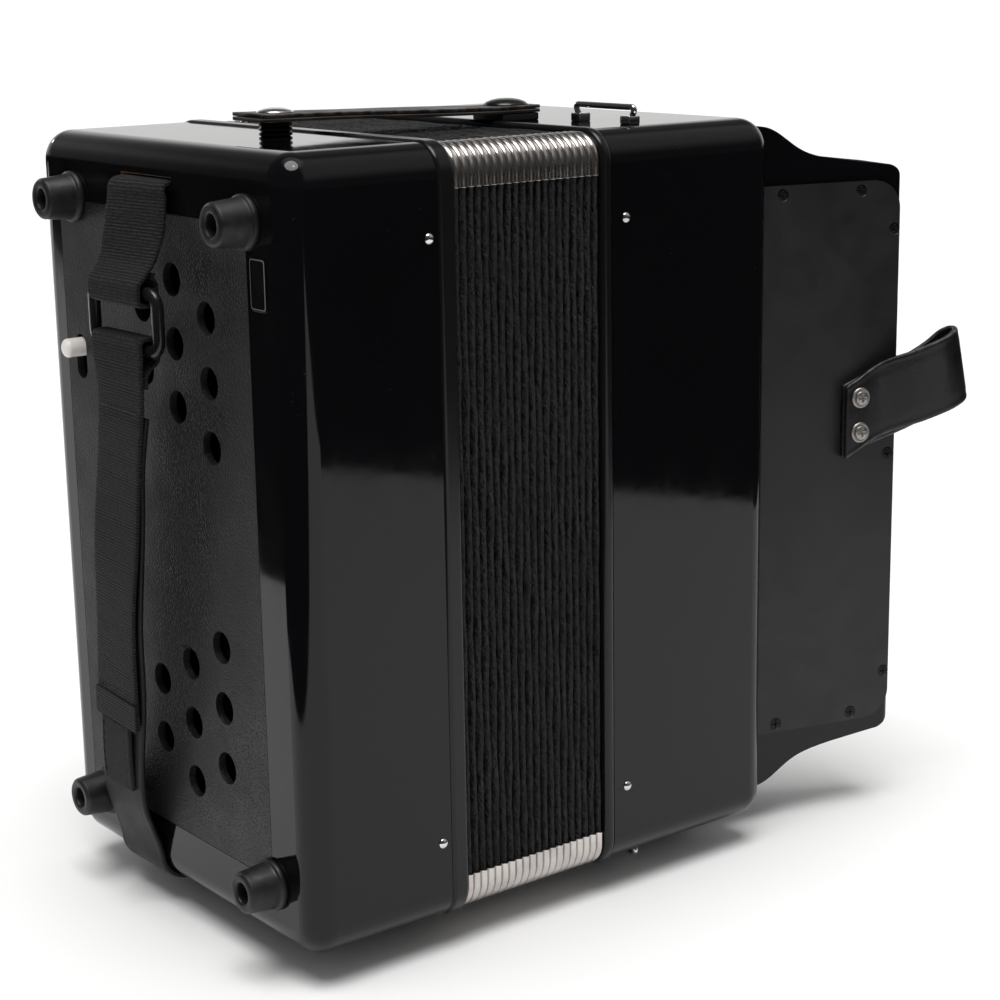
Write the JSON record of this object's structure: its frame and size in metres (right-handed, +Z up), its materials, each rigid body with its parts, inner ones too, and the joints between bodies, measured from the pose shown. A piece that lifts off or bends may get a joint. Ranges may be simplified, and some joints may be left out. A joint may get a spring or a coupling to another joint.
{
  "type": "button accordion",
  "caption": "Diatonic button accordion with lacquered bass and treble casings on a folding bellows, angled fingerboard, hand strap, thumb loop, air button and rubber feet.",
  "frame": {"origin": "bottom centre of the whole object, on the plane its base feet stand on", "axes": "+X from the bass end to the treble end along the bellows, -Y towards the player, +Y towards the audience, +Z up"},
  "size_m": [0.341, 0.2044, 0.3124],
  "materials": {
    "black_lacquer": "high gloss black lacquer",
    "leatherette": "grained black leatherette",
    "rubber": "matte",
    "chrome": "polished",
    "fabric_black": "ribbed webbing",
    "bellows_cloth": "satin cloth tape",
    "leather_black": "smooth",
    "plastic_black": "glossy",
    "badge": "satin with a pale border",
    "cover_black": "matte",
    "grille_metal": "satin black",
    "button_pearl": "pearl white",
    "air_plastic": "translucent white",
    "inner_wood": "bare spruce and maple"
  },
  "bodies": {
    "bass": {"bass_casing": "black_lacquer", "bass_end_plate": "leatherette", "bass_frame": "black_lacquer", "bass_feet": "rubber", "bass_fasteners": "chrome", "key_badge": "badge", "hand_strap_webbing": "fabric_black", "hand_strap_ring": "plastic_black", "hand_strap_leather": "leather_black", "strap_studs": "plastic_black", "bass_reed_block": "inner_wood", "bellows_folds": "bellows_cloth", "bellows_corners": "chrome"},
    "treble": {"treble_casing": "black_lacquer", "treble_frame": "black_lacquer", "treble_fasteners": "chrome", "shoulder_brackets": "chrome", "treble_grille": "grille_metal", "fingerboard": "black_lacquer", "fingerboard_cover": "cover_black", "thumb_strap": "leather_black", "treble_feet": "rubber", "strap_anchors": "leather_black", "treble_reed_block": "inner_wood"},
    "air_button": {"air_button": "air_plastic"},
    "top_strap": {"top_strap": "leather_black"},
    "bottom_strap": {"bottom_strap": "leather_black"},
    "bass_buttons_1": {"bass_button_row_1": "button_pearl"},
    "bass_buttons_2": {"bass_button_row_2": "button_pearl"},
    "button_1_01": {"treble_button_1_01": "button_pearl"},
    "button_1_02": {"treble_button_1_02": "button_pearl"},
    "button_1_03": {"treble_button_1_03": "button_pearl"},
    "button_1_04": {"treble_button_1_04": "button_pearl"},
    "button_1_05": {"treble_button_1_05": "button_pearl"},
    "button_1_06": {"treble_button_1_06": "button_pearl"},
    "button_1_07": {"treble_button_1_07": "button_pearl"},
    "button_1_08": {"treble_button_1_08": "button_pearl"},
    "button_1_09": {"treble_button_1_09": "button_pearl"},
    "button_1_10": {"treble_button_1_10": "button_pearl"},
    "button_2_01": {"treble_button_2_01": "button_pearl"},
    "button_2_02": {"treble_button_2_02": "button_pearl"},
    "button_2_03": {"treble_button_2_03": "button_pearl"},
    "button_2_04": {"treble_button_2_04": "button_pearl"},
    "button_2_05": {"treble_button_2_05": "button_pearl"},
    "button_2_06": {"treble_button_2_06": "button_pearl"},
    "button_2_07": {"treble_button_2_07": "button_pearl"},
    "button_2_08": {"treble_button_2_08": "button_pearl"},
    "button_2_09": {"treble_button_2_09": "button_pearl"},
    "button_2_10": {"treble_button_2_10": "button_pearl"},
    "button_2_11": {"treble_button_2_11": "button_pearl"},
    "button_3_01": {"treble_button_3_01": "button_pearl"},
    "button_3_02": {"treble_button_3_02": "button_pearl"},
    "button_3_03": {"treble_button_3_03": "button_pearl"},
    "button_3_04": {"treble_button_3_04": "button_pearl"},
    "button_3_05": {"treble_button_3_05": "button_pearl"},
    "button_3_06": {"treble_button_3_06": "button_pearl"},
    "button_3_07": {"treble_button_3_07": "button_pearl"},
    "button_3_08": {"treble_button_3_08": "button_pearl"},
    "button_3_09": {"treble_button_3_09": "button_pearl"},
    "button_3_10": {"treble_button_3_10": "button_pearl"}
  },
  "joints": [
    {"name": "bellows_open", "type": "slide", "parent": "bass", "child": "treble", "axis": [1, 0, 0], "range_m": [0, 0.25], "deforming": ["bellows_folds", "bellows_corners"]},
    {"name": "air_button_press", "type": "slide", "parent": "bass", "child": "air_button", "axis": [0, 0, -1], "range_m": [0, 0.008], "stiffness_N_per_m": 250, "springref_m": -0.004},
    {"name": "top_strap_open", "type": "hinge", "parent": "treble", "child": "top_strap", "pos_m": [-0.01165, -0.00409, 0.3065], "axis": [0, 1, 0], "range_deg": [0, 90]},
    {"name": "bottom_strap_open", "type": "hinge", "parent": "treble", "child": "bottom_strap", "pos_m": [-0.01165, -0.00409, 0.0075], "axis": [0, -1, 0], "range_deg": [0, 90]},
    {"name": "bass_row_1_press", "type": "slide", "parent": "bass", "child": "bass_buttons_1", "axis": [0, -1, 0], "range_m": [0, 0.003], "stiffness_N_per_m": 300, "springref_m": -0.003},
    {"name": "bass_row_2_press", "type": "slide", "parent": "bass", "child": "bass_buttons_2", "axis": [0, -1, 0], "range_m": [0, 0.003], "stiffness_N_per_m": 300, "springref_m": -0.003},
    {"name": "button_1_01_press", "type": "slide", "parent": "treble", "child": "button_1_01", "axis": [-0.4525, -0.8918, 0], "range_m": [0, 0.004], "stiffness_N_per_m": 150, "springref_m": -0.003},
    {"name": "button_1_02_press", "type": "slide", "parent": "treble", "child": "button_1_02", "axis": [-0.4525, -0.8918, 0], "range_m": [0, 0.004], "stiffness_N_per_m": 150, "springref_m": -0.003},
    {"name": "button_1_03_press", "type": "slide", "parent": "treble", "child": "button_1_03", "axis": [-0.4525, -0.8918, 0], "range_m": [0, 0.004], "stiffness_N_per_m": 150, "springref_m": -0.003},
    {"name": "button_1_04_press", "type": "slide", "parent": "treble", "child": "button_1_04", "axis": [-0.4525, -0.8918, 0], "range_m": [0, 0.004], "stiffness_N_per_m": 150, "springref_m": -0.003},
    {"name": "button_1_05_press", "type": "slide", "parent": "treble", "child": "button_1_05", "axis": [-0.4525, -0.8918, 0], "range_m": [0, 0.004], "stiffness_N_per_m": 150, "springref_m": -0.003},
    {"name": "button_1_06_press", "type": "slide", "parent": "treble", "child": "button_1_06", "axis": [-0.4525, -0.8918, 0], "range_m": [0, 0.004], "stiffness_N_per_m": 150, "springref_m": -0.003},
    {"name": "button_1_07_press", "type": "slide", "parent": "treble", "child": "button_1_07", "axis": [-0.4525, -0.8918, 0], "range_m": [0, 0.004], "stiffness_N_per_m": 150, "springref_m": -0.003},
    {"name": "button_1_08_press", "type": "slide", "parent": "treble", "child": "button_1_08", "axis": [-0.4525, -0.8918, 0], "range_m": [0, 0.004], "stiffness_N_per_m": 150, "springref_m": -0.003},
    {"name": "button_1_09_press", "type": "slide", "parent": "treble", "child": "button_1_09", "axis": [-0.4525, -0.8918, 0], "range_m": [0, 0.004], "stiffness_N_per_m": 150, "springref_m": -0.003},
    {"name": "button_1_10_press", "type": "slide", "parent": "treble", "child": "button_1_10", "axis": [-0.4525, -0.8918, 0], "range_m": [0, 0.004], "stiffness_N_per_m": 150, "springref_m": -0.003},
    {"name": "button_2_01_press", "type": "slide", "parent": "treble", "child": "button_2_01", "axis": [-0.4525, -0.8918, 0], "range_m": [0, 0.004], "stiffness_N_per_m": 150, "springref_m": -0.003},
    {"name": "button_2_02_press", "type": "slide", "parent": "treble", "child": "button_2_02", "axis": [-0.4525, -0.8918, 0], "range_m": [0, 0.004], "stiffness_N_per_m": 150, "springref_m": -0.003},
    {"name": "button_2_03_press", "type": "slide", "parent": "treble", "child": "button_2_03", "axis": [-0.4525, -0.8918, 0], "range_m": [0, 0.004], "stiffness_N_per_m": 150, "springref_m": -0.003},
    {"name": "button_2_04_press", "type": "slide", "parent": "treble", "child": "button_2_04", "axis": [-0.4525, -0.8918, 0], "range_m": [0, 0.004], "stiffness_N_per_m": 150, "springref_m": -0.003},
    {"name": "button_2_05_press", "type": "slide", "parent": "treble", "child": "button_2_05", "axis": [-0.4525, -0.8918, 0], "range_m": [0, 0.004], "stiffness_N_per_m": 150, "springref_m": -0.003},
    {"name": "button_2_06_press", "type": "slide", "parent": "treble", "child": "button_2_06", "axis": [-0.4525, -0.8918, 0], "range_m": [0, 0.004], "stiffness_N_per_m": 150, "springref_m": -0.003},
    {"name": "button_2_07_press", "type": "slide", "parent": "treble", "child": "button_2_07", "axis": [-0.4525, -0.8918, 0], "range_m": [0, 0.004], "stiffness_N_per_m": 150, "springref_m": -0.003},
    {"name": "button_2_08_press", "type": "slide", "parent": "treble", "child": "button_2_08", "axis": [-0.4525, -0.8918, 0], "range_m": [0, 0.004], "stiffness_N_per_m": 150, "springref_m": -0.003},
    {"name": "button_2_09_press", "type": "slide", "parent": "treble", "child": "button_2_09", "axis": [-0.4525, -0.8918, 0], "range_m": [0, 0.004], "stiffness_N_per_m": 150, "springref_m": -0.003},
    {"name": "button_2_10_press", "type": "slide", "parent": "treble", "child": "button_2_10", "axis": [-0.4525, -0.8918, 0], "range_m": [0, 0.004], "stiffness_N_per_m": 150, "springref_m": -0.003},
    {"name": "button_2_11_press", "type": "slide", "parent": "treble", "child": "button_2_11", "axis": [-0.4525, -0.8918, 0], "range_m": [0, 0.004], "stiffness_N_per_m": 150, "springref_m": -0.003},
    {"name": "button_3_01_press", "type": "slide", "parent": "treble", "child": "button_3_01", "axis": [-0.4525, -0.8918, 0], "range_m": [0, 0.004], "stiffness_N_per_m": 150, "springref_m": -0.003},
    {"name": "button_3_02_press", "type": "slide", "parent": "treble", "child": "button_3_02", "axis": [-0.4525, -0.8918, 0], "range_m": [0, 0.004], "stiffness_N_per_m": 150, "springref_m": -0.003},
    {"name": "button_3_03_press", "type": "slide", "parent": "treble", "child": "button_3_03", "axis": [-0.4525, -0.8918, 0], "range_m": [0, 0.004], "stiffness_N_per_m": 150, "springref_m": -0.003},
    {"name": "button_3_04_press", "type": "slide", "parent": "treble", "child": "button_3_04", "axis": [-0.4525, -0.8918, 0], "range_m": [0, 0.004], "stiffness_N_per_m": 150, "springref_m": -0.003},
    {"name": "button_3_05_press", "type": "slide", "parent": "treble", "child": "button_3_05", "axis": [-0.4525, -0.8918, 0], "range_m": [0, 0.004], "stiffness_N_per_m": 150, "springref_m": -0.003},
    {"name": "button_3_06_press", "type": "slide", "parent": "treble", "child": "button_3_06", "axis": [-0.4525, -0.8918, 0], "range_m": [0, 0.004], "stiffness_N_per_m": 150, "springref_m": -0.003},
    {"name": "button_3_07_press", "type": "slide", "parent": "treble", "child": "button_3_07", "axis": [-0.4525, -0.8918, 0], "range_m": [0, 0.004], "stiffness_N_per_m": 150, "springref_m": -0.003},
    {"name": "button_3_08_press", "type": "slide", "parent": "treble", "child": "button_3_08", "axis": [-0.4525, -0.8918, 0], "range_m": [0, 0.004], "stiffness_N_per_m": 150, "springref_m": -0.003},
    {"name": "button_3_09_press", "type": "slide", "parent": "treble", "child": "button_3_09", "axis": [-0.4525, -0.8918, 0], "range_m": [0, 0.004], "stiffness_N_per_m": 150, "springref_m": -0.003},
    {"name": "button_3_10_press", "type": "slide", "parent": "treble", "child": "button_3_10", "axis": [-0.4525, -0.8918, 0], "range_m": [0, 0.004], "stiffness_N_per_m": 150, "springref_m": -0.003}
  ]
}
